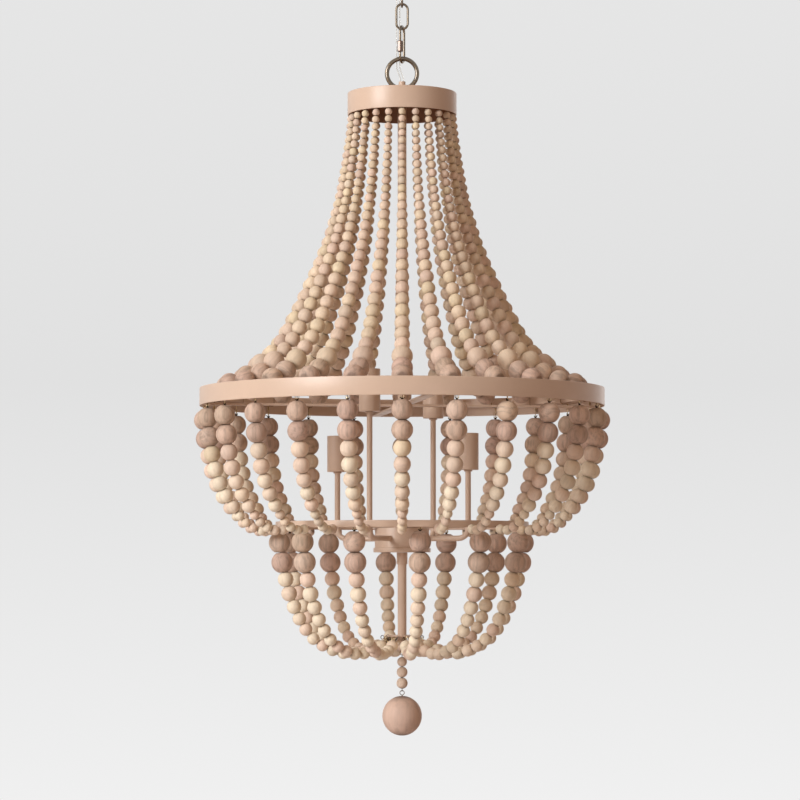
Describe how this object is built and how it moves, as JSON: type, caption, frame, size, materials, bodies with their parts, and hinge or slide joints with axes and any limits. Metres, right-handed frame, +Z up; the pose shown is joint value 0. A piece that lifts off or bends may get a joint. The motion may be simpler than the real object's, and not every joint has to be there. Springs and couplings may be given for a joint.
{
  "type": "beaded chandelier",
  "caption": "Pendant chandelier of swagged wooden bead strands on metal rings, with plain candle sleeves, a ball drop and a short chain.",
  "frame": {"origin": "centre of the mounting strap's top face, which meets the ceiling", "axes": "+Z up towards the ceiling, the front looks along -Y, +X to the right seen from the front"},
  "size_m": [0.5972, 0.5972, 1.1423],
  "materials": {
    "frame_metal": "satin beige paint",
    "chain_brass": "antique gold",
    "strap_steel": "plain",
    "bead_wood": "light natural wood",
    "large_wood": "greyed natural wood with straight grain",
    "socket_ceramic": "plain",
    "cord_clear": "clear"
  },
  "bodies": {
    "ceiling_fitting": {"mounting_strap": "strap_steel", "ceiling_canopy": "frame_metal", "canopy_loop": "chain_brass", "supply_cord": "cord_clear"},
    "upper_link": {"upper_link": "chain_brass"},
    "lower_link": {"lower_link": "chain_brass"},
    "quick_link": {"quick_link": "chain_brass"},
    "quick_link_sleeve": {"quick_link_sleeve": "chain_brass"},
    "fixture": {"hanging_loop": "chain_brass", "cap_band": "frame_metal", "centre_stem": "frame_metal", "main_ring": "frame_metal", "ring_spider": "frame_metal", "lower_ring": "frame_metal", "hub_canister": "frame_metal", "lower_stem": "frame_metal", "candle_arm_1": "frame_metal", "socket_cover_1": "frame_metal", "lamp_socket_1": "socket_ceramic", "candle_arm_2": "frame_metal", "socket_cover_2": "frame_metal", "lamp_socket_2": "socket_ceramic", "candle_arm_3": "frame_metal", "socket_cover_3": "frame_metal", "lamp_socket_3": "socket_ceramic", "candle_arm_4": "frame_metal", "socket_cover_4": "frame_metal", "lamp_socket_4": "socket_ceramic", "bead_strand_01": "bead_wood", "bead_strand_02": "bead_wood", "bead_strand_03": "bead_wood", "bead_strand_04": "bead_wood", "bead_strand_05": "bead_wood", "bead_strand_06": "bead_wood", "bead_strand_07": "bead_wood", "bead_strand_08": "bead_wood", "bead_strand_09": "bead_wood", "bead_strand_10": "bead_wood", "bead_strand_11": "bead_wood", "bead_strand_12": "bead_wood", "bead_strand_13": "bead_wood", "bead_strand_14": "bead_wood", "bead_strand_15": "bead_wood", "bead_strand_16": "bead_wood", "bead_strand_17": "bead_wood", "bead_strand_18": "bead_wood", "bead_strand_19": "bead_wood", "bead_strand_20": "bead_wood", "bead_strand_21": "bead_wood", "bead_strand_22": "bead_wood", "bead_strand_23": "bead_wood", "bead_strand_24": "bead_wood", "lower_strand_pair_1": "bead_wood", "lower_strand_pair_2": "bead_wood", "lower_strand_pair_3": "bead_wood", "lower_strand_pair_4": "bead_wood", "lower_strand_pair_5": "bead_wood", "lower_strand_pair_6": "bead_wood"},
    "drop_beads": {"drop_beads": "bead_wood"},
    "drop_ball": {"drop_ball": "large_wood"}
  },
  "joints": [
    {"name": "upper_link_swing", "type": "hinge", "parent": "ceiling_fitting", "child": "upper_link", "pos_m": [0, 0, -0.06126], "axis": [1, 0, 0], "range_deg": [-25, 25], "deforming": ["supply_cord"]},
    {"name": "lower_link_swing", "type": "hinge", "parent": "upper_link", "child": "lower_link", "pos_m": [0, 0, -0.09371], "axis": [0, 1, 0], "range_deg": [-25, 25], "deforming": ["supply_cord"]},
    {"name": "quick_link_swing", "type": "hinge", "parent": "lower_link", "child": "quick_link", "pos_m": [0, 0, -0.12641], "axis": [1, 0, 0], "range_deg": [-25, 25], "deforming": ["supply_cord"]},
    {"name": "sleeve_travel", "type": "slide", "parent": "quick_link", "child": "quick_link_sleeve", "axis": [0, 0, 1], "range_m": [0, 0.008]},
    {"name": "fixture_swing", "type": "hinge", "parent": "quick_link", "child": "fixture", "pos_m": [0, 0, -0.17481], "axis": [0.342, 0.9397, 0], "range_deg": [-25, 25], "deforming": ["supply_cord"]},
    {"name": "drop_swing", "type": "hinge", "parent": "fixture", "child": "drop_beads", "pos_m": [0, 0, -1.02781], "axis": [1, 0, 0], "range_deg": [-35, 35]},
    {"name": "ball_swing", "type": "hinge", "parent": "drop_beads", "child": "drop_ball", "pos_m": [0, 0, -1.07961], "axis": [0, 1, 0], "range_deg": [-35, 35]}
  ]
}
